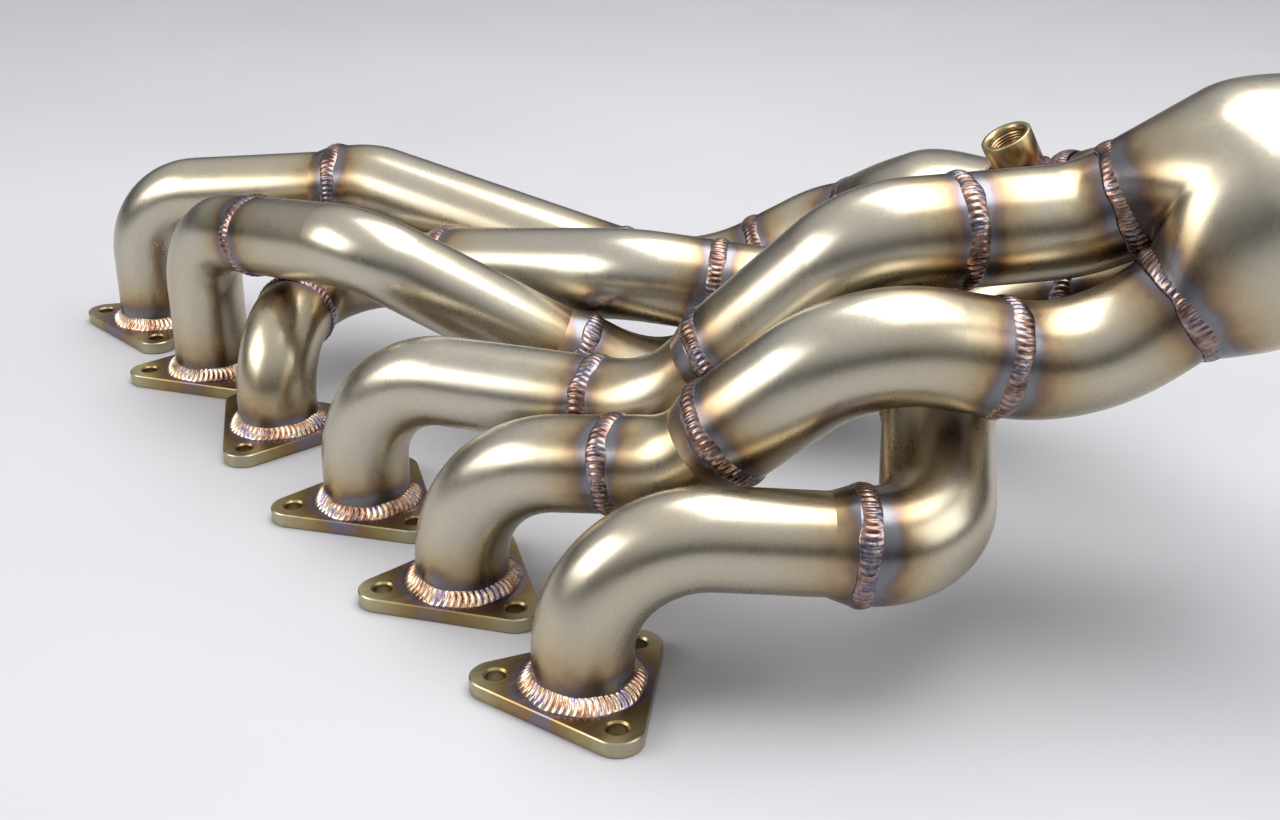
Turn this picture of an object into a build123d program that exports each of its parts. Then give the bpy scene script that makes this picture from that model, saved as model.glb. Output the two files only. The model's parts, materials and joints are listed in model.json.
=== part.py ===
"""Exhaust manifold for an in-line six: six bolted ports feed two three-into-one collectors.

Frame: the origin is the centre of port 1 on the flanges' mounting face, +X runs along the ports
towards port 1's end, +Y runs from the cylinder head towards the collectors, and +Z leaves the head.
Every runner is a stepped primary: a small tube at the port, flared and butt-welded to a larger one.
"""

import os
from collections import namedtuple
from math import cos, radians, sin, tan

from build123d import *

# Tube stock
SMALL_TUBE = 21.2           # outer radius at the ports
LARGE_TUBE = 24.15          # outer radius from the step to the collector
OUTLET_TUBE = 31.75         # outer radius of the collector outlets
WALL = 2.0

# Port flanges
PORT_X = (0, -102, -200, -310, -405, -500)
FLANGE_CLOCK = (109, 10, 11, 67, 8, 99)     # angle of one bolt hole from +X
FLANGE_THICKNESS = 6.5
BOLT_CIRCLE = 36.65         # radius
BOLT_HOLE = 4.4             # radius
CORNER = 11.0               # corner radius about each bolt hole
HOLE_CHAMFER = 0.9
EDGE_CHAMFER = 0.5
TUBE_SETBACK = 1.5          # the tube stops short of the mounting face

# Weld beads
BEAD_WIDTH = 6.4
BEAD_HEIGHT = 1.3
FLANGE_WELD_LEG = 5.8
FLANGE_WELD_HEIGHT = 6.0
LIP_BEAD_WIDTH = 4.5

# Step from the small tube to the large one
FLARE_CONE = 9.0
FLARE_LAND = 4.0

# Collectors, along their own axis from the plane where the three runners end
RUNNER_SPREAD = 29.6        # from the collector axis to each runner axis
CONVERGENCE = 9.0           # degrees that each runner leans in
LOBE = 25.6                 # outer radius of the three inlet lobes
LOBE_LENGTH = 38.0
NOSE = 6.0                  # where the body's closed nose starts
SHOULDER = 14.0
BODY = 52.5                 # outer radius at the shoulder
TAPER_START = 52.0
TAPER_END = 110.0
COLLECTOR_LENGTH = 120.0
OUTLET_LENGTH = 60.0
PROFILE_BENDS = (28.0, 60.0, 40.0)

# Oxygen sensor bung on the rear collector
BUNG_STATION = 101.0        # along the collector axis
BUNG_CLOCK = 107.0          # degrees round the collector axis
BUNG_MOUTH = 55.5           # from the collector axis
BUNG_FOOT = 30.0
BUNG_RADIUS = 12.7
BUNG_BORE = 8.25            # minor radius of an M18 x 1.5 thread
BUNG_CHAMFER = 1.4
BUNG_WELD = 2.6

Collector = namedtuple("Collector", "centre axis clock")
FRONT = Collector((70, 245, 160), (10, 11, 10), 75)
REAR = Collector((-145, 270, 85), (8, 5, 4), 52)

# A route leaves its port straight up for `leg`, turns, passes two free corners, turns once more and
# runs `lead` straight into its collector inlet. `cuts` are the welds' places between neighbouring
# bends, 0 at the end of one and 1 at the start of the next. `step` is the weld where the tube grows.
Route = namedtuple("Route", "leg corners bends lead collector inlet cuts step names")
ROUTES = {
    1: Route(75, ((75, 120, 65), (-30, 215, 110)), (50, 32, 40, 55), 25,
             FRONT, 2, (1.0, 0.85, 0.5), 0, ("elbow", "riser", "tail")),
    2: Route(65, ((-20, 60, 80), (35, 110, 145)), (55, 40, 60, 70), 50,
             FRONT, 1, (0.65, 0.05, 0.95), 1, ("joiner", "arch", "tail")),
    3: Route(75, ((-70, 85, 80), (0, 140, 170)), (50, 60, 40, 40), 25,
             FRONT, 0, (0.95, 0.1, 0.35), 1, ("joiner", "arch", "tail")),
    4: Route(50, ((-380, 65, 60), (-205, 160, 90)), (35, 35, 60, 55), 25,
             REAR, 1, (0.5, 0.2, 0.5), 1, ("elbow", "long", "tail")),
    5: Route(90, ((-255, 30, 115), (-180, 150, 35)), (40, 40, 70, 60), 55,
             REAR, 2, (0.25, 0.9, 0.5), 1, ("joiner", "dip", "tail")),
    6: Route(85, ((-395, 105, 100), (-225, 215, 60)), (40, 45, 110, 40), 20,
             REAR, 0, (0.9, 1.0, 0.0), 0, ("long", "dip", "tail")),
}


def collector_plane(collector):
    """Local frame at the inlet plane: z along the gas flow, x level, y as near up as it can be."""
    axis = Vector(*collector.axis).normalized()
    return Plane(origin=collector.centre, x_dir=Vector(0, 0, 1).cross(axis), z_dir=axis)


def inlet(collector, number):
    """Place and direction of one runner's end at its collector."""
    plane = collector_plane(collector)
    angle = radians(collector.clock + 120 * number)
    outward = plane.x_dir * cos(angle) + plane.y_dir * sin(angle)
    place = plane.origin + outward * RUNNER_SPREAD
    lean = radians(CONVERGENCE)
    return place, (plane.z_dir * cos(lean) - outward * sin(lean)).normalized()


def tangent_length(before, corner, after, bend):
    """Distance from a corner to where its bend starts."""
    turn = (corner - before).get_angle(after - corner)
    return bend * tan(radians(turn) / 2)


def cut_points(route, port_x):
    """Corner points of a route, and the points where its pieces are welded together."""
    end, direction = inlet(route.collector, route.inlet)
    start = Vector(port_x, 0, TUBE_SETBACK)
    corners = [Vector(port_x, 0, route.leg)]
    corners += [Vector(*corner) for corner in route.corners]
    corners.append(end - direction * route.lead)
    chain = [start, *corners, end]
    tangents = [tangent_length(chain[i], chain[i + 1], chain[i + 2], bend)
                for i, bend in enumerate(route.bends)]
    ends = [start]
    for i, share in enumerate(route.cuts):
        heading = (corners[i + 1] - corners[i]).normalized()
        margin = BEAD_WIDTH / 2
        before = FLARE_CONE + FLARE_LAND if i == route.step else margin
        span = (corners[i + 1] - corners[i]).length - tangents[i] - tangents[i + 1]
        free = span - before - margin
        ends.append(corners[i] + heading * (tangents[i] + before + share * free))
    ends.append(end)
    return corners, ends


def bent_tube(start, corner, end, bend, outer, flared):
    """One tube piece with a single bend; a flared one grows to the large tube at its far end."""
    arrival = (corner - start).normalized()
    heading = (end - corner).normalized()
    tangent = tangent_length(start, corner, end, bend)
    bend_start = corner - arrival * tangent
    bend_end = corner + heading * tangent
    flare_start = end - heading * (FLARE_CONE + FLARE_LAND)
    land_start = end - heading * FLARE_LAND
    with BuildPart() as piece:
        with BuildLine():
            Line(start, bend_start)
            TangentArc(bend_start, bend_end, tangent=arrival)
            Line(bend_end, flare_start if flared else end)
        with BuildSketch(Plane(origin=start, z_dir=arrival)):
            Circle(outer)
            Circle(outer - WALL, mode=Mode.SUBTRACT)
        sweep()
        if flared:
            with Locations(Plane(origin=flare_start, z_dir=heading)):
                Cone(outer, LARGE_TUBE, FLARE_CONE, align=(Align.CENTER, Align.CENTER, Align.MIN))
                Cone(outer - WALL, LARGE_TUBE - WALL, FLARE_CONE,
                     align=(Align.CENTER, Align.CENTER, Align.MIN), mode=Mode.SUBTRACT)
            with BuildSketch(Plane(origin=land_start, z_dir=heading)):
                Circle(LARGE_TUBE)
                Circle(LARGE_TUBE - WALL, mode=Mode.SUBTRACT)
            extrude(amount=FLARE_LAND)
    return piece


def profile_plane(place, direction):
    """Sketch plane through a tube's axis: sketch x runs along the axis, sketch y outwards."""
    side = Plane(origin=place, z_dir=direction).x_dir
    return Plane(origin=place, x_dir=direction, z_dir=side)


def ring(places, profile):
    """Rings of one closed profile, one about each (place, direction)."""
    with BuildPart() as rings:
        for place, direction in places:
            with BuildSketch(profile_plane(place, direction)):
                with BuildLine():
                    profile()
                make_face()
            revolve(axis=Axis(place, direction))
    return rings


def butt_bead(tube):
    """Cap of a butt weld on a tube of this outer radius."""
    def profile():
        half = BEAD_WIDTH / 2
        ThreePointArc((-half, tube), (0, tube + BEAD_HEIGHT), (half, tube))
        Line((half, tube), (-half, tube))
    return profile


def fillet_bead(tube, width, height):
    """Slightly crowned fillet weld: `width` along the tube and `height` up the plate at x = 0."""
    def profile():
        middle = (-width * 0.42, tube + height * 0.62)
        Polyline((-width, tube), (0, tube), (0, tube + height))
        ThreePointArc((0, tube + height), middle, (-width, tube))
    return profile


def collector_profile(skin):
    """Half outline of a collector body, `skin` inside its outer surface, from nose to outlet."""
    slope = (BODY - OUTLET_TUBE) / (TAPER_END - TAPER_START)
    shift = skin * slope / 2
    outline = [(NOSE + skin, 0), (SHOULDER + skin, BODY - skin), (TAPER_START - shift, BODY - skin),
               (TAPER_END - shift, OUTLET_TUBE - skin), (COLLECTOR_LENGTH, OUTLET_TUBE - skin)]
    bends = (PROFILE_BENDS[0] - skin, PROFILE_BENDS[1] - skin, PROFILE_BENDS[2] + skin)
    FilletPolyline(*outline, radius=bends)
    Polyline((COLLECTOR_LENGTH, OUTLET_TUBE - skin), (COLLECTOR_LENGTH, 0), (NOSE + skin, 0))


def revolve_collector(collector, skin, mode):
    """Add or cut the collector's body of revolution in the part being built."""
    plane = collector_plane(collector)
    with BuildSketch(profile_plane(plane.origin, plane.z_dir), mode=Mode.PRIVATE) as half:
        with BuildLine():
            collector_profile(skin)
        make_face()
    revolve(half.sketch, axis=Axis(plane.origin, plane.z_dir), mode=mode)


def collector_body(collector, has_bung):
    """Three round inlet lobes that run into one tapering body, hollow throughout."""
    inlets = [Plane(origin=place, z_dir=direction)
              for place, direction in (inlet(collector, number) for number in range(3))]
    with BuildPart() as body:
        for plane in inlets:
            with BuildSketch(plane):
                Circle(LOBE)
            extrude(amount=LOBE_LENGTH)
        revolve_collector(collector, 0, Mode.ADD)
        for plane in inlets:
            with BuildSketch(plane.offset(-1)):
                Circle(LARGE_TUBE - WALL)
            extrude(amount=LOBE_LENGTH + 1, mode=Mode.SUBTRACT)
        revolve_collector(collector, WALL, Mode.SUBTRACT)
        if has_bung:
            with BuildSketch(bung_plane()):
                Circle(BUNG_BORE)
            extrude(amount=BUNG_MOUTH, mode=Mode.SUBTRACT)
    return body


def bung_plane():
    """Frame on the rear collector's axis under the bung: z points out of the bung's mouth."""
    plane = collector_plane(REAR)
    angle = radians(BUNG_CLOCK)
    outward = plane.x_dir * cos(angle) + plane.y_dir * sin(angle)
    return Plane(origin=plane.origin + plane.z_dir * BUNG_STATION, x_dir=plane.z_dir, z_dir=outward)


def save(piece, label):
    """Label a finished piece and write its STEP file."""
    piece.part.label = label
    export_step(piece.part, f"parts/{label}.step")


os.makedirs("parts", exist_ok=True)

# Port flanges and the fillet welds that hold the tubes in them
for number, (port_x, clock) in enumerate(zip(PORT_X, FLANGE_CLOCK), start=1):
    with BuildPart() as flange:
        with BuildSketch(Plane((port_x, 0, 0))):
            with BuildSketch(Plane.XY) as corners:
                with PolarLocations(BOLT_CIRCLE, 3, start_angle=clock):
                    Circle(CORNER)
                make_hull()
            Circle(SMALL_TUBE, mode=Mode.SUBTRACT)
            with PolarLocations(BOLT_CIRCLE, 3, start_angle=clock):
                Circle(BOLT_HOLE, mode=Mode.SUBTRACT)
        extrude(amount=FLANGE_THICKNESS)
        top = flange.faces().sort_by(Axis.Z)[-1]
        chamfer(top.outer_wire().edges(), EDGE_CHAMFER)
        holes = flange.edges().filter_by(GeomType.CIRCLE)
        holes = holes.filter_by(lambda edge: abs(edge.radius - BOLT_HOLE) < 0.01)
        chamfer(holes.group_by(Axis.Z)[-1], HOLE_CHAMFER)
    save(flange, f"flange_{number}")

    foot = Vector(port_x, 0, FLANGE_THICKNESS)
    down = Vector(0, 0, -1)
    save(ring([(foot, down)], fillet_bead(SMALL_TUBE, FLANGE_WELD_HEIGHT, FLANGE_WELD_LEG)),
         f"flange_weld_{number}")

# Runners: a port bend and three more pieces each, with a group of butt welds
for number, route in ROUTES.items():
    corners, ends = cut_points(route, PORT_X[number - 1])
    names = ["port_bend_%d" % number] + [f"runner_{number}_{name}" for name in route.names]
    beads = []
    for i, name in enumerate(names):
        outer = SMALL_TUBE if i <= route.step else LARGE_TUBE
        tube = bent_tube(ends[i], corners[i], ends[i + 1], route.bends[i], outer, i == route.step)
        save(tube, name)
    with BuildPart() as welds:
        for i in range(3):
            heading = (corners[i + 1] - corners[i]).normalized()
            outer = SMALL_TUBE if i < route.step else LARGE_TUBE
            add(ring([(ends[i + 1], heading)], butt_bead(outer)).part)
    save(welds, f"runner_welds_{number}")

# Collectors, their outlets and their welds
for place_name, collector in (("front", FRONT), ("rear", REAR)):
    save(collector_body(collector, has_bung=collector is REAR), f"{place_name}_collector")

    plane = collector_plane(collector)
    with BuildPart() as outlet:
        with BuildSketch(plane.offset(COLLECTOR_LENGTH)):
            Circle(OUTLET_TUBE)
            Circle(OUTLET_TUBE - WALL, mode=Mode.SUBTRACT)
        extrude(amount=OUTLET_LENGTH)
    save(outlet, f"{place_name}_outlet")

    lips = ring([inlet(collector, number) for number in range(3)],
                fillet_bead(LARGE_TUBE, LIP_BEAD_WIDTH, LOBE - LARGE_TUBE))
    neck = plane.offset(COLLECTOR_LENGTH)
    with BuildPart() as welds:
        add(lips.part)
        add(ring([(neck.origin, neck.z_dir)], butt_bead(OUTLET_TUBE)).part)
    save(welds, f"{place_name}_collector_welds")

# Oxygen sensor bung, its foot cut to the collector's skin, and the fillet weld round it
bung_mouth = bung_plane().offset(BUNG_MOUTH)
with BuildPart() as bung:
    with BuildSketch(bung_plane().offset(BUNG_FOOT)):
        Circle(BUNG_RADIUS)
        Circle(BUNG_BORE, mode=Mode.SUBTRACT)
    extrude(amount=BUNG_MOUTH - BUNG_FOOT)
    with Locations(bung_mouth):
        Cone(BUNG_BORE, BUNG_BORE + BUNG_CHAMFER, BUNG_CHAMFER,
             align=(Align.CENTER, Align.CENTER, Align.MAX), mode=Mode.SUBTRACT)
    revolve_collector(REAR, 0, Mode.SUBTRACT)
save(bung, "oxygen_sensor_bung")

with BuildPart() as bung_weld:
    with BuildSketch(bung_plane().offset(BUNG_FOOT)):
        Circle(BUNG_RADIUS + BUNG_WELD)
        Circle(BUNG_RADIUS, mode=Mode.SUBTRACT)
    extrude(amount=BUNG_MOUTH - BUNG_FOOT)
    revolve_collector(REAR, -BUNG_WELD, Mode.INTERSECT)
    revolve_collector(REAR, 0, Mode.SUBTRACT)
save(bung_weld, "bung_weld")
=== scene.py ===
"""Looks of the exhaust manifold: satin stainless tube with heat tint round every weld, rippled weld
beads, threaded sensor bung, a pale floor, soft studio light and one camera."""
import json
import math

import bpy
import numpy as np
from mathutils import Matrix, Vector


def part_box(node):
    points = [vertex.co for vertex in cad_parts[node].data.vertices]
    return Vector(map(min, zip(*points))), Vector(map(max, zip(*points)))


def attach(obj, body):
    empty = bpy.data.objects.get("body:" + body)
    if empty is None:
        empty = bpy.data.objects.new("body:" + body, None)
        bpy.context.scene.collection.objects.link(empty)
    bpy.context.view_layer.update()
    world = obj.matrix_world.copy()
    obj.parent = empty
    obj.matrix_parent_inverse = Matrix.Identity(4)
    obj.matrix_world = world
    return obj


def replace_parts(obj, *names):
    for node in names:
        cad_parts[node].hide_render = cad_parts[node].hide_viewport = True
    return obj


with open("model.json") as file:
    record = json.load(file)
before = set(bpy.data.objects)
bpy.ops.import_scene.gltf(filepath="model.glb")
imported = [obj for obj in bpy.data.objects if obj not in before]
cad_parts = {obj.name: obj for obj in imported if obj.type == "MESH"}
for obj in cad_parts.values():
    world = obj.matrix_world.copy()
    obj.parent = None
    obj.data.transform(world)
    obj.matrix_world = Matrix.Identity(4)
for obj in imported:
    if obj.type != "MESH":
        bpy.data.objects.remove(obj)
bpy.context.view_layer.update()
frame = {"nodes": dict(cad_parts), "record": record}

MM = 0.001
NODES = frame["nodes"]
RUNNERS = range(1, 7)

# Weld beads, in metres, and their grids
BEAD_RIPPLE = 2.9 * MM
BEAD_WIDTH = 9.4 * MM
BEAD_HEIGHT = 1.3 * MM
BEAD_ROOT = 0.9 * MM
BEAD_WANDER = 0.45 * MM
BEAD_QUIVER = 0.25 * MM
TOE_SINK = 0.3 * MM
COLLECTOR_BEAD_WIDTH = 11 * MM
COLLECTOR_BUILD_UP = 1.3 * MM
RIPPLE_STEPS = 9
BEAD_COLUMNS = 15

# Fillets between the flanges and their tubes, in metres
FILLET_RIPPLE = 3.1 * MM
FILLET_CREST = 0.42 * MM
FILLET_BULGE = 0.6 * MM
TOE_WANDER = 0.5 * MM
TOE_QUIVER = 0.3 * MM
TOP_WANDER = 0.6 * MM
TOP_QUIVER = 0.3 * MM
FILLET_SINK = 0.2 * MM
FILLET_BACK = 0.3 * MM
FILLET_UNDER = 0.6 * MM

# Sensor bung thread, M18 x 1.5, with its run-in in turns and its grid
THREAD_PITCH = 1.5 * MM
THREAD_DEPTH = 0.85 * MM
THREAD_RUN_IN = 1.5
THREAD_STEPS = 10
MOUTH_CHAMFER = 2.0 * MM
MOUTH_FLARE = 0.55
BUNG_EDGE = 0.5 * MM
BUNG_SIDES = 96

# Collector shell, in metres, and its grid
SHELL = 2.0 * MM
SHELL_OVERLAP = 0.5 * MM
SHELL_SIDES = 180
SHELL_STEPS = 60
LIP_RISE = 1.45 * MM
LEAST_LOBE = 3 * MM
LOBE_REACH = 62 * MM
TAPER_START = 46 * MM
NECK_LAND = 10 * MM

# Heat tint, in metres from the welds, and the bung's turning lines in radians for each metre
TINTING_WELDS = 2
FLANGE_WELD_RISE = 3 * MM
RING_CLEARANCE = 1.3
TINT_REACH = 44 * MM
TINT_WANDER = 24 * MM
PLATE_TINT_START = 26 * MM
PLATE_TINT_REACH = 24 * MM
PLATE_TINT_WANDER = 10 * MM
BUNG_TINT_REACH = 22 * MM
TURNING_LINES = 12000.0

# Bare steel, and the colours that heat gives it, from far to near a weld
STEEL = (0.50, 0.465, 0.385)
CHAMPAGNE = (0.51, 0.445, 0.32)
STRAW = (0.43, 0.33, 0.175)
GOLD = (0.33, 0.215, 0.095)
BROWN = (0.17, 0.095, 0.05)
PURPLE = (0.13, 0.085, 0.10)
BLUE = (0.14, 0.15, 0.19)
GREY = (0.19, 0.175, 0.18)

# Floor, room and camera
FLOOR_HALF = 12
FLOOR_LEVEL = -0.5 * MM
ROOM_LIGHT = 0.8
CAMERA_PLACE = (0.513, -0.318, 0.399)
CAMERA_AZIMUTH = 56.0
CAMERA_ELEVATION = 24.2
CAMERA_LENS = 48.8


# ---------------------------------------------------------------- reading the frame

def vertices_of(name):
    """All vertex positions of a CAD node as an (n, 3) array."""
    mesh = NODES[name].data
    flat = np.empty(len(mesh.vertices) * 3)
    mesh.vertices.foreach_get("co", flat)
    return flat.reshape(-1, 3)


def solids_of(name):
    """Vertex positions of each separate solid in a CAD node: vertices at one place count as one,
    and labels spread along edges until each connected group shares its lowest label."""
    points = vertices_of(name)
    mesh = NODES[name].data
    edges = np.empty(len(mesh.edges) * 2, int)
    mesh.edges.foreach_get("vertices", edges)
    _, same = np.unique(np.round(points, 6), axis=0, return_inverse=True)
    pairs = same.reshape(-1)[edges.reshape(-1, 2)]
    label = np.arange(same.max() + 1)
    while True:
        low = np.minimum(label[pairs[:, 0]], label[pairs[:, 1]])
        fresh = label.copy()
        np.minimum.at(fresh, pairs[:, 0], low)
        np.minimum.at(fresh, pairs[:, 1], low)
        fresh = fresh[fresh]
        if np.array_equal(fresh, label):
            break
        label = fresh
    owner = label[same.reshape(-1)]
    return [points[owner == group] for group in np.unique(owner)]


def unit(vector):
    """A vector divided by its length."""
    vector = np.asarray(vector, float)
    return vector / np.linalg.norm(vector)


def side_axes(axis):
    """Two unit vectors square to an axis and to each other."""
    helper = np.array([0.0, 0.0, 1.0]) if abs(axis[2]) < 0.9 else np.array([1.0, 0.0, 0.0])
    first = unit(np.cross(axis, helper))
    return first, np.cross(axis, first)


def ring_of(points):
    """Centre, axis and inner radius of a ring-shaped solid. The axis is the direction of least
    spread, and the centre solves x^2 + y^2 = 2ax + 2by + c in the ring's plane by least squares."""
    middle = points.mean(0)
    _, _, directions = np.linalg.svd(points - middle, full_matrices=False)
    axis = directions[2]
    first, second = side_axes(axis)
    x, y = (points - middle) @ first, (points - middle) @ second
    sides = np.stack([2 * x, 2 * y, np.ones_like(x)], 1)
    a, b, _ = np.linalg.lstsq(sides, x**2 + y**2, rcond=None)[0]
    along = (points - middle) @ axis
    centre = middle + first * a + second * b + axis * (along.max() + along.min()) / 2
    radius = np.hypot(x - a, y - b).min()
    return centre, axis, radius


# ---------------------------------------------------------------- meshes

def grid_mesh(name, points, closed_rows=False, closed_columns=False):
    """Mesh of a (rows, columns, 3) grid of points, with quads between neighbours. A surface closed
    both ways is turned so that its faces point outwards, by the sign of its volume, which is the
    sum of p0 . (p1 x p2) over its triangles."""
    rows, columns = points.shape[:2]
    r = np.arange(rows if closed_rows else rows - 1)
    c = np.arange(columns if closed_columns else columns - 1)
    r, c = (a.reshape(-1) for a in np.meshgrid(r, c, indexing="ij"))
    r2, c2 = (r + 1) % rows, (c + 1) % columns
    quads = np.stack([r * columns + c, r * columns + c2, r2 * columns + c2, r2 * columns + c], 1)
    flat = points.reshape(-1, 3)
    if closed_rows and closed_columns:
        middle = flat.mean(0)
        p = (flat - middle)[quads]
        halves = (np.cross(p[:, 1], p[:, 2]) + np.cross(p[:, 2], p[:, 3])) * p[:, 0]
        if halves.sum() < 0:
            quads = quads[:, ::-1]
    mesh = bpy.data.meshes.new(name)
    mesh.from_pydata(flat.tolist(), [], quads.tolist())
    mesh.polygons.foreach_set("use_smooth", np.ones(len(quads), bool))
    mesh.update()
    return mesh


def round_about(centre, axis, angle, radius, along):
    """Points at an angle and radius about an axis, and at a distance along it."""
    first, second = side_axes(axis)
    outward = np.cos(angle)[..., None] * first + np.sin(angle)[..., None] * second
    return centre + along[..., None] * axis + radius[..., None] * outward


def piece_from(name, meshes, material):
    """One object made of several meshes, riding on the manifold."""
    parts = []
    for mesh in meshes:
        part = bpy.data.objects.new(name, mesh)
        bpy.context.scene.collection.objects.link(part)
        parts.append(part)
    bpy.ops.object.select_all(action="DESELECT")
    for part in parts:
        part.select_set(True)
    bpy.context.view_layer.objects.active = parts[0]
    if len(parts) > 1:
        bpy.ops.object.join()
    piece = parts[0]
    piece.name = name
    piece.data.materials.clear()
    piece.data.materials.append(material)
    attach(piece, "root")
    return piece


def butt_bead(name, centre, axis, radius, seed, width=BEAD_WIDTH):
    """Rippled bead round a tube. Round the tube by the angle a, and across the bead by t from 0
    to 1: the surface stands sin(pi t) to the power 0.75 times its height above the tube and sinks
    into it at both toes. Crescent ripples, the cosine of the ripple count times a plus 2.6 times
    the square of the distance from the middle, raise and lower it. Width and place wander slowly
    with the angle, as a hand-laid bead does. Two more columns close the section inside the tube's
    wall."""
    ripples = int(2 * math.pi * radius / BEAD_RIPPLE)
    a = np.linspace(0, 2 * math.pi, ripples * RIPPLE_STEPS, endpoint=False)[:, None]
    t = np.linspace(0, 1, BEAD_COLUMNS)[None, :]
    across = 2 * t - 1
    wander = BEAD_WANDER * np.sin(3 * a + seed) + BEAD_QUIVER * np.sin(7 * a + 2 * seed)
    width = width * (1 + 0.08 * np.sin(5 * a + seed) + 0.05 * np.sin(11 * a - seed))
    phase = a * ripples + 2.6 * across**2 + 0.7 * np.sin(4 * a + seed)
    ripple = (0.5 + 0.5 * np.cos(phase)) ** 0.7
    crown = np.sin(math.pi * t) ** 0.75
    stand = BEAD_HEIGHT * crown * (0.62 + 0.38 * ripple * (1 - across**4))
    stand = stand - TOE_SINK * (1 - crown)
    root = np.full((len(a), 1), -BEAD_ROOT)
    stand = np.hstack([stand, root, root])
    along = np.hstack([across * width / 2, width * 0.45, -width * 0.45]) + wander
    points = round_about(centre, axis, a + 0 * stand, radius + stand, along)
    return grid_mesh(name, points, closed_rows=True, closed_columns=True)


def flange_bead(name, centre, tube_radius, toe, height, seed):
    """Rippled fillet between a flange and its tube. Round the tube by the angle a, and up the
    fillet by t from the toe on the plate to the top on the tube: a straight slope, bulged outwards
    and up by sin(pi t) to the power 0.7 and by crescent ripples, with a toe and top that wander
    slowly. Two more columns close the section inside the plate and the tube's wall."""
    ripples = int(2 * math.pi * toe / FILLET_RIPPLE)
    a = np.linspace(0, 2 * math.pi, ripples * RIPPLE_STEPS, endpoint=False)[:, None]
    t = np.linspace(0, 1, BEAD_COLUMNS)[None, :]
    across = 2 * t - 1
    toe = toe + TOE_WANDER * np.sin(3 * a + seed) + TOE_QUIVER * np.sin(8 * a - seed)
    height = height + TOP_WANDER * np.sin(2 * a + seed) + TOP_QUIVER * np.sin(7 * a + 2 * seed)
    phase = a * ripples + 2.4 * across**2 + 0.8 * np.sin(3 * a + seed)
    swell = np.sin(math.pi * t) ** 0.7
    bulge = swell * (FILLET_BULGE + FILLET_CREST * np.cos(phase) * (1 - across**4))
    wall = tube_radius - BEAD_ROOT
    radius = wall + (toe - wall) * (1 - t) + bulge * 0.7
    level = -FILLET_SINK + height * t + bulge * 0.7
    inner = np.full((len(a), 1), wall - FILLET_BACK)
    radius = np.hstack([radius, inner, inner])
    level = np.hstack([level, height, np.full((len(a), 1), -FILLET_UNDER)])
    points = round_about(centre, np.array([0.0, 0.0, 1.0]), a + 0 * radius, radius, level)
    return grid_mesh(name, points, closed_rows=True, closed_columns=True)


def threaded_bung(name, origin, axis, outer, crest, mouth, foot):
    """Turned boss with a thread. One closed profile goes round the axis: up the outside, over the
    chamfered mouth and down the thread, whose radius is the root less its depth times a triangle
    wave of the turns down less the angle's share of one turn."""
    root = crest + THREAD_DEPTH
    turns = (mouth - foot - MOUTH_CHAMFER) / THREAD_PITCH
    s = np.linspace(0, turns, int(turns * THREAD_STEPS))
    a = np.linspace(0, 2 * math.pi, BUNG_SIDES, endpoint=False)[:, None]
    wave = 1 - np.abs(2 * ((s[None, :] - a / (2 * math.pi)) % 1) - 1)
    fade = np.clip(s / THREAD_RUN_IN, 0, 1)
    thread_radius = root - THREAD_DEPTH * wave * fade
    lead_r = np.array([outer, outer, outer - BUNG_EDGE, root + MOUTH_CHAMFER * MOUTH_FLARE])
    lead_z = np.array([foot, mouth - BUNG_EDGE, mouth, mouth])
    radius = np.hstack([np.repeat(lead_r[None], len(a), 0), thread_radius])
    level = np.concatenate([lead_z, mouth - MOUTH_CHAMFER - s * THREAD_PITCH])[None] + 0 * radius
    points = round_about(origin, axis, a + 0 * radius, radius, level)
    return grid_mesh(name, points, closed_rows=True, closed_columns=True)


def merge_shell(name, inlets, start, axis, neck, neck_radius, lobe_radius):
    """Shell of a three-into-one collector. Along the axis by s and round it by a, the inlet end is
    the outline of three round lobes, d cos(b) + sqrt(r^2 - d^2 sin(b)^2) where b is the angle from
    the nearest lobe. With x the share of s along the lobes' reach, it blends by the smooth step of
    the quarter circle sqrt(x (2 - x)) into a round body, which tapers to the neck by a smooth step
    of its own. The grid goes out along the outside and back along the inside, one wall in."""
    first, second = side_axes(axis)
    offsets = np.array(inlets) - start
    angles = np.arctan2(offsets @ second, offsets @ first)
    spread = np.linalg.norm(offsets - (offsets @ axis)[:, None] * axis, axis=1).mean()
    length = (neck - start) @ axis
    a = np.linspace(0, 2 * math.pi, SHELL_SIDES, endpoint=False)[:, None]
    s = np.linspace(-SHELL_OVERLAP, length, SHELL_STEPS)[None, :]
    apart = (a - angles[None, :] + math.pi) % (2 * math.pi) - math.pi
    away = np.abs(apart).min(1, keepdims=True)
    inside = np.clip(lobe_radius**2 - (spread * np.sin(away)) ** 2, LEAST_LOBE**2, None)
    lobes = spread * np.cos(away) + np.sqrt(inside)
    body = lobe_radius + spread
    share = np.clip((s - TAPER_START) / (length - TAPER_START - NECK_LAND), 0, 1)
    fall = share * share * (3 - 2 * share)
    round_body = body * (1 - fall) + neck_radius * fall
    blend = np.clip(s / LOBE_REACH, 0, 1)
    blend = np.sqrt(blend * (2 - blend))
    blend = blend * blend * (3 - 2 * blend)
    outside = lobes * (1 - blend) * (1 - fall) + round_body * (1 - (1 - blend) * (1 - fall))
    outside = np.minimum(outside, body)
    inner = outside - SHELL
    radius = np.hstack([outside, inner[:, ::-1]])
    along = np.hstack([s, s[:, ::-1]]) + 0 * radius
    points = round_about(start, axis, a + 0 * radius, radius, along)
    return grid_mesh(name, points, closed_rows=True, closed_columns=True)


# ---------------------------------------------------------------- materials

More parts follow.
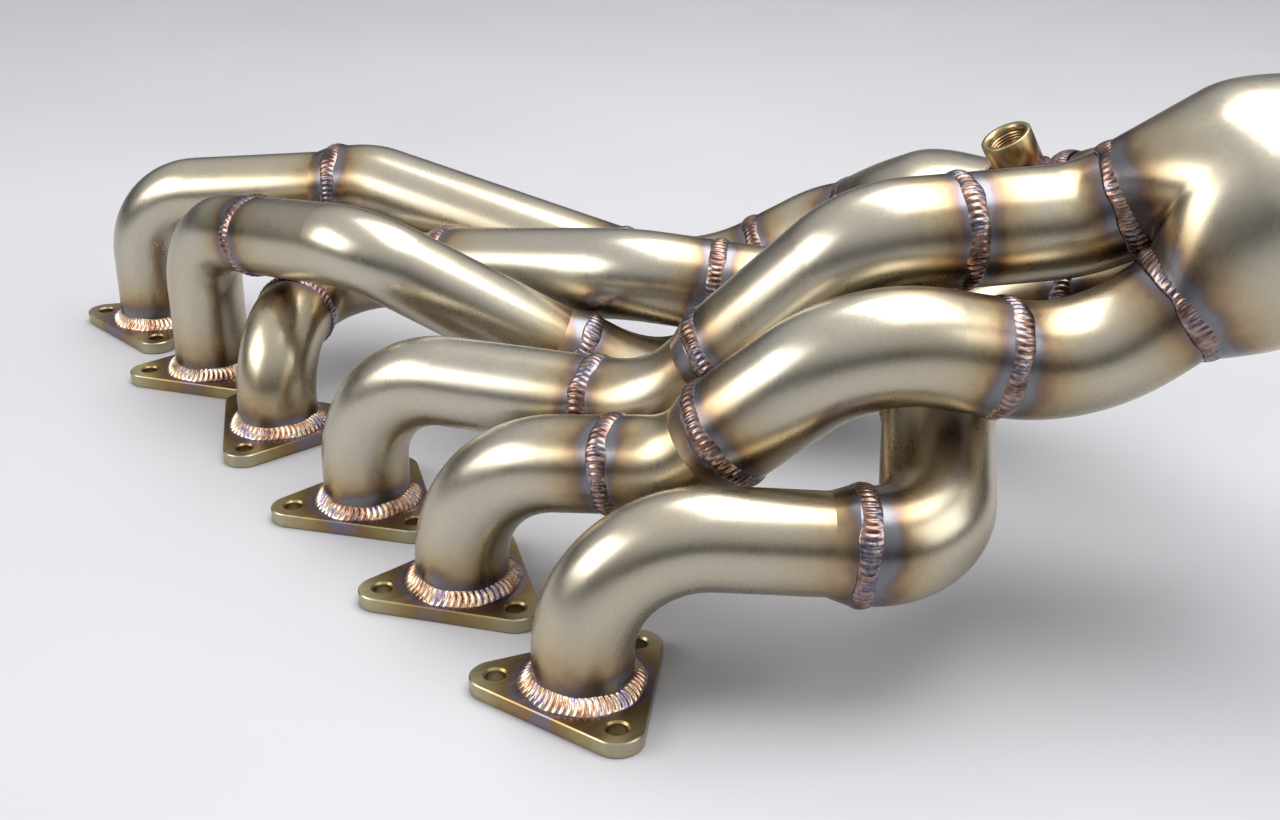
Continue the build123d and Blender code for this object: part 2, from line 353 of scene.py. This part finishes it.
def fill_ramp(ramp, stops):
    """Give a colour ramp its stops, each a position and a colour."""
    while len(ramp.elements) < len(stops):
        ramp.elements.new(0.5)
    for element, (position, colour) in zip(ramp.elements, stops):
        element.position = position
        element.color = (*colour, 1)


class Shader:
    """A node material with short calls for the nodes that this script needs."""

    def __init__(self, name):
        self.material = bpy.data.materials.new(name)
        self.material.use_nodes = True
        self.tree = self.material.node_tree
        self.bsdf = self.tree.nodes["Principled BSDF"]
        self.place = self.tree.nodes.new("ShaderNodeTexCoord").outputs["Object"]

    def link(self, source, target):
        """Join an output to an input, or set the input where the source is a plain value."""
        if hasattr(source, "links"):
            self.tree.links.new(source, target)
        else:
            target.default_value = source

    def math(self, operation, first, second=0.0, clamp=False):
        """One sum on numbers."""
        node = self.tree.nodes.new("ShaderNodeMath")
        node.operation = operation
        node.use_clamp = clamp
        self.link(first, node.inputs[0])
        self.link(second, node.inputs[1])
        return node.outputs[0]

    def vector(self, operation, first, second=(0, 0, 0)):
        """One sum on vectors. A dot product and a length give a number."""
        node = self.tree.nodes.new("ShaderNodeVectorMath")
        node.operation = operation
        self.link(first, node.inputs[0])
        self.link(second, node.inputs[1])
        return node.outputs["Value" if operation in ("DOT_PRODUCT", "LENGTH") else "Vector"]

    def noise(self, scale, detail, roughness=0.55, place=None):
        """Cloudy noise from 0 to 1 over the piece's own coordinates."""
        node = self.tree.nodes.new("ShaderNodeTexNoise")
        self.link(place or self.place, node.inputs["Vector"])
        node.inputs["Scale"].default_value = scale
        node.inputs["Detail"].default_value = detail
        node.inputs["Roughness"].default_value = roughness
        return node.outputs["Fac"]

    def wander(self, noise, size):
        """A noise less its middle value, times a size."""
        return self.math("MULTIPLY", self.math("SUBTRACT", noise, 0.5), size)

    def scaled(self, value, factor, base):
        """A value times a factor, plus a base."""
        return self.math("ADD", self.math("MULTIPLY", value, factor), base)

    def ramp(self, factor, stops):
        """Colour from a factor, straight between stops."""
        node = self.tree.nodes.new("ShaderNodeValToRGB")
        self.link(factor, node.inputs[0])
        fill_ramp(node.color_ramp, stops)
        return node.outputs["Color"]

    def shades(self, factor, low, dark, high):
        """Grey shade from a factor: dark up to low, and white from high."""
        return self.ramp(factor, [(low, (dark,) * 3), (high, (1,) * 3)])

    def mix(self, factor, first, second, blend="MIX"):
        """Two colours mixed by a factor."""
        node = self.tree.nodes.new("ShaderNodeMix")
        node.data_type = "RGBA"
        node.blend_type = blend
        self.link(factor, node.inputs[0])
        self.link(first, node.inputs[6])
        self.link(second, node.inputs[7])
        return node.outputs[2]

    def metal(self, colour, roughness):
        """Bare metal of one colour and roughness."""
        self.link(colour, self.bsdf.inputs["Base Color"])
        self.bsdf.inputs["Metallic"].default_value = 1.0
        self.link(roughness, self.bsdf.inputs["Roughness"])

    def bump(self, height, distance, strength):
        """Fine relief: a pattern's height over a distance."""
        node = self.tree.nodes.new("ShaderNodeBump")
        node.inputs["Distance"].default_value = distance
        node.inputs["Strength"].default_value = strength
        self.link(height, node.inputs["Height"])
        self.link(node.outputs[0], self.bsdf.inputs["Normal"])

    def stretched(self, scales):
        """The piece's own coordinates, scaled on each axis."""
        node = self.tree.nodes.new("ShaderNodeMapping")
        node.inputs["Scale"].default_value = scales
        self.link(self.place, node.inputs["Vector"])
        return node.outputs[0]

    def to_weld(self, welds):
        """Distance in metres to the nearest weld: that from its plane, or from just outside its
        ring where the plane meets another part of the tube."""
        nearest = None
        for centre, axis, radius in welds:
            offset = self.vector("SUBTRACT", self.place, tuple(centre))
            plane = self.math("ABSOLUTE", self.vector("DOT_PRODUCT", offset, tuple(axis)))
            beyond = self.math("SUBTRACT", self.vector("LENGTH", offset),
                               float(radius * RING_CLEARANCE))
            distance = self.math("MAXIMUM", plane, beyond)
            nearest = distance if nearest is None else self.math("MINIMUM", nearest, distance)
        return nearest


def tube_steel(name, welds):
    """Satin stainless tube: faint mill grain and handling marks, and heat tint that goes with
    distance from the welds through grey, blue, purple, brown and gold to straw."""
    shader = Shader(name)
    cloudy = shader.noise(30, 4)
    patchy = shader.noise(9, 2)
    body = shader.mix(shader.shades(patchy, 0.35, 0, 0.70), (*STEEL, 1), (*CHAMPAGNE, 1))
    distance = shader.math("ADD", shader.to_weld(welds), shader.wander(cloudy, TINT_WANDER))
    reach = shader.math("DIVIDE", distance, TINT_REACH, clamp=True)
    tint = shader.ramp(reach, [(0.00, GREY), (0.12, BLUE), (0.165, PURPLE), (0.21, BROWN),
                               (0.30, GOLD), (0.46, STRAW), (0.95, STEEL)])
    strength = shader.ramp(reach, [(0.0, (0.92,) * 3), (0.26, (0.80,) * 3), (0.5, (0.50,) * 3),
                                   (1.0, (0.0,) * 3)])
    colour = shader.mix(strength, body, tint)
    grain = shader.noise(700, 3, 0.65, shader.stretched((1, 1, 0.25)))
    smears = shader.noise(60, 5, 0.7)
    colour = shader.mix(0.07, colour, shader.shades(grain, 0.35, 0.4, 0.65), "MULTIPLY")
    rough = shader.scaled(grain, 0.08, 0.17)
    shader.metal(colour, shader.math("ADD", rough, shader.math("MULTIPLY", smears, 0.16)))
    shader.bump(grain, 0.01 * MM, 0.12)
    return shader.material


def plate_steel(name, centre):
    """Flange plate: brown and blue close to the weld, olive gold over the face and pale at the
    edges, with the distance measured square to the plate's own axis."""
    shader = Shader(name)
    offset = shader.vector("SUBTRACT", shader.place, tuple(centre))
    radial = shader.vector("LENGTH", shader.vector("MULTIPLY", offset, (1, 1, 0)))
    cloudy = shader.noise(60, 4)
    ring = shader.math("ADD", radial, shader.wander(cloudy, PLATE_TINT_WANDER))
    reach = shader.math("DIVIDE", shader.math("SUBTRACT", ring, PLATE_TINT_START),
                        PLATE_TINT_REACH, clamp=True)
    colour = shader.ramp(reach, [(0.0, (0.20, 0.15, 0.14)), (0.10, (0.22, 0.20, 0.26)),
                                 (0.2, (0.30, 0.19, 0.09)), (0.42, (0.38, 0.30, 0.14)),
                                 (0.8, (0.44, 0.40, 0.27))])
    marks = shader.noise(300, 3, 0.6, shader.stretched((1, 0.15, 1)))
    colour = shader.mix(0.25, colour, shader.shades(marks, 0.3, 0.4, 0.7), "MULTIPLY")
    shader.metal(colour, shader.scaled(marks, 0.2, 0.22))
    shader.bump(marks, 0.05 * MM, 0.5)
    return shader.material


def bead_metal(name, warm):
    """Weld metal: patches of plum, copper, rose, blue-grey and silver; a fillet is warmer."""
    shader = Shader(name)
    patches = shader.noise(95, 4, 0.6)
    if warm:
        stops = [(0.28, (0.15, 0.10, 0.11)), (0.40, (0.38, 0.21, 0.14)),
                 (0.48, (0.62, 0.41, 0.28)), (0.56, (0.68, 0.54, 0.42)),
                 (0.63, (0.30, 0.26, 0.40)), (0.74, (0.52, 0.34, 0.18))]
    else:
        stops = [(0.28, (0.07, 0.055, 0.06)), (0.40, (0.15, 0.095, 0.085)),
                 (0.48, (0.27, 0.165, 0.125)), (0.55, (0.34, 0.27, 0.26)),
                 (0.62, (0.13, 0.115, 0.155)), (0.75, (0.30, 0.28, 0.27))]
    fine = shader.noise(900, 3, 0.6)
    shader.metal(shader.ramp(patches, stops), shader.scaled(fine, 0.22, 0.16))
    shader.bump(fine, 0.12 * MM, 0.5)
    return shader.material


def bung_steel(name, mouth, axis):
    """Turned boss: brown and gold heat tint, deeper towards its foot, with fine turning lines."""
    shader = Shader(name)
    offset = shader.vector("SUBTRACT", shader.place, tuple(mouth))
    depth = shader.math("MULTIPLY", shader.vector("DOT_PRODUCT", offset, tuple(axis)), -1.0)
    cloudy = shader.noise(90, 3)
    reach = shader.math("ADD", shader.math("DIVIDE", depth, BUNG_TINT_REACH),
                        shader.wander(cloudy, 0.5), clamp=True)
    colour = shader.ramp(reach, [(0.0, (0.38, 0.30, 0.16)), (0.3, (0.32, 0.19, 0.085)),
                                 (0.65, (0.25, 0.115, 0.055)), (1.0, (0.15, 0.10, 0.11))])
    lines = shader.math("SINE", shader.math("MULTIPLY", depth, TURNING_LINES))
    shader.metal(colour, shader.scaled(cloudy, 0.2, 0.2))
    shader.bump(lines, 0.02 * MM, 0.3)
    return shader.material


def floor_paint():
    """Plain pale lavender-grey sweep."""
    shader = Shader("pale_floor")
    tone = shader.noise(3, 2)
    shader.link(shader.ramp(tone, [(0.3, (0.50, 0.50, 0.52)), (0.7, (0.53, 0.53, 0.55))]),
                shader.bsdf.inputs["Base Color"])
    shader.bsdf.inputs["Roughness"].default_value = 0.55
    return shader.material


# ---------------------------------------------------------------- dressing the manifold

def use(name, material):
    """Give a CAD node one material."""
    slots = NODES[name].data.materials
    slots.clear()
    slots.append(material)


def near(welds, name):
    """The welds that tint a node: those whose rings lie nearest to its own vertices."""
    points = vertices_of(name)

    def gap(weld):
        centre, _, radius = weld
        return np.abs(np.linalg.norm(points - centre, axis=1) - radius).min()

    return sorted(welds, key=gap)[:TINTING_WELDS]


butt_metal = bead_metal("butt_bead_metal", warm=False)
fillet_metal = bead_metal("fillet_bead_metal", warm=True)
runner_joints = {}

for number in RUNNERS:
    rings = [ring_of(points) for points in solids_of(f"runner_welds_{number}")]
    low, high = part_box(f"flange_weld_{number}")
    middle = np.array([(low.x + high.x) / 2, (low.y + high.y) / 2, low.z])
    toe = (high.x - low.x) / 2
    from_axis = vertices_of(f"flange_weld_{number}")[:, :2] - middle[:2]
    tube_radius = np.hypot(*from_axis.T).min()
    beads = [butt_bead(f"bead_{number}_{i}", *ring, seed=number + 1.7 * i)
             for i, ring in enumerate(rings)]
    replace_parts(piece_from(f"butt_beads_{number}", beads, butt_metal),
                f"runner_welds_{number}")
    fillet = flange_bead(f"fillet_{number}", middle, tube_radius, toe, high.z - low.z, number)
    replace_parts(piece_from(f"flange_bead_{number}", [fillet], fillet_metal),
                f"flange_weld_{number}")
    foot = (middle + [0, 0, FLANGE_WELD_RISE], np.array([0.0, 0.0, 1.0]), tube_radius)
    runner_joints[number] = [foot, *rings]
    use(f"flange_{number}", plate_steel(f"plate_{number}", middle))

for side, numbers in (("front", (1, 2, 3)), ("rear", (4, 5, 6))):
    rings = [ring_of(points) for points in solids_of(f"{side}_collector_welds")]
    beads = [butt_bead(f"{side}_bead_{i}", ring[0], ring[1], ring[2] + COLLECTOR_BUILD_UP,
                       3.1 * i + len(side), COLLECTOR_BEAD_WIDTH) for i, ring in enumerate(rings)]
    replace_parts(piece_from(f"{side}_collector_beads", beads, butt_metal),
                f"{side}_collector_welds")
    neck = max(rings, key=lambda ring: ring[2])
    lips = [ring for ring in rings if ring is not neck]
    start = np.mean([lip[0] for lip in lips], axis=0)
    axis = unit(neck[0] - start)
    steel = tube_steel(f"{side}_collector_steel", rings)
    shell = merge_shell(f"{side}_shell", [lip[0] for lip in lips], start, axis, neck[0], neck[2],
                        max(lip[2] for lip in lips) + LIP_RISE)
    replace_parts(piece_from(f"{side}_collector_shell", [shell], steel), f"{side}_collector")
    use(f"{side}_outlet", tube_steel(f"{side}_outlet_steel", [neck]))
    for number in numbers:
        own = runner_joints[number] + lips
        for name in sorted(NODES):
            if name == f"port_bend_{number}" or name.startswith(f"runner_{number}_"):
                use(name, tube_steel(f"{name}_steel", near(own, name)))

sensor = next(mount for mount in frame["record"]["mounts"]
              if mount["name"] == "oxygen_sensor_thread")
bung_axis = unit(sensor["axis"])
bung_place = np.array(sensor["pos_m"])
bung_offsets = vertices_of("oxygen_sensor_bung") - bung_place
bung_levels = bung_offsets @ bung_axis
bung_radii = np.linalg.norm(bung_offsets - bung_levels[:, None] * bung_axis, axis=1)
bung_metal = bung_steel("bung_steel", bung_place + bung_axis * bung_levels.max(), bung_axis)
bung = threaded_bung("threaded_bung", bung_place, bung_axis, bung_radii.max(),
                     sensor["dims"]["r_mm"] * MM, bung_levels.max(), bung_levels.min())
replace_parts(piece_from("threaded_bung", [bung], bung_metal), "oxygen_sensor_bung")
use("bung_weld", butt_metal)


# ---------------------------------------------------------------- studio

def add_floor():
    """Flat square floor, a hair under the flanges."""
    points = FLOOR_HALF * np.array([[[-1, -1, 0], [1, -1, 0]], [[-1, 1, 0], [1, 1, 0]]], float)
    points[..., 2] = FLOOR_LEVEL
    floor = bpy.data.objects.new("studio_floor", grid_mesh("studio_floor", points))
    bpy.context.scene.collection.objects.link(floor)
    floor.data.materials.append(floor_paint())


def add_area(name, place, target, size, power, colour):
    """Soft rectangular lamp at a place, turned to face a target."""
    light = bpy.data.lights.new(name, "AREA")
    light.shape = "RECTANGLE"
    light.size, light.size_y = size
    light.energy = power
    light.color = colour
    lamp = bpy.data.objects.new(name, light)
    lamp.location = place
    lamp.rotation_euler = (Vector(target) - Vector(place)).to_track_quat("-Z", "Y").to_euler()
    bpy.context.scene.collection.objects.link(lamp)


def add_world():
    """Soft room: bright overhead and dim at the horizon, so that tubes show a dark band."""
    world = bpy.data.worlds.new("studio_world")
    world.use_nodes = True
    bpy.context.scene.world = world
    tree = world.node_tree
    background = tree.nodes["Background"]
    direction = tree.nodes.new("ShaderNodeTexCoord").outputs["Generated"]
    split = tree.nodes.new("ShaderNodeSeparateXYZ")
    tree.links.new(direction, split.inputs[0])
    ramp = tree.nodes.new("ShaderNodeValToRGB")
    tree.links.new(split.outputs["Z"], ramp.inputs[0])
    stops = [(0.0, (0.10, 0.10, 0.105)), (0.2, (0.13, 0.13, 0.14)), (0.5, (0.75, 0.76, 0.80)),
             (1.0, (1.15, 1.15, 1.18))]
    fill_ramp(ramp.color_ramp, stops)
    tree.links.new(ramp.outputs[0], background.inputs[0])
    background.inputs[1].default_value = ROOM_LIGHT


def add_camera():
    """Camera low beyond port 1's end, looking back along the ports and down on the bends."""
    turn, drop = math.radians(CAMERA_AZIMUTH), math.radians(CAMERA_ELEVATION)
    level = math.cos(drop)
    back = Vector((math.sin(turn) * level, -math.cos(turn) * level, math.sin(drop)))
    right = Vector((math.cos(turn), math.sin(turn), 0))
    lens = bpy.data.cameras.new("camera")
    lens.lens = CAMERA_LENS
    camera = bpy.data.objects.new("camera", lens)
    matrix = Matrix((right, back.cross(right), back)).transposed().to_4x4()
    matrix.translation = Vector(CAMERA_PLACE)
    camera.matrix_world = matrix
    bpy.context.scene.collection.objects.link(camera)
    bpy.context.scene.camera = camera


add_floor()
add_world()
add_camera()
add_area("overhead", (-0.1, 0.5, 1.5), (-0.15, 0.15, 0), (1.6, 1.0), 22, (1.0, 0.99, 0.98))
add_area("left_window", (-0.6, -1.3, 0.9), (-0.15, 0.1, 0.1), (1.2, 0.8), 13, (1.0, 0.98, 0.95))
add_area("right_fill", (1.1, 0.9, 0.8), (0, 0.2, 0.1), (0.9, 0.9), 6, (0.95, 0.97, 1.0))

bpy.context.scene.view_settings.view_transform = "Standard"
bpy.context.view_layer.update()
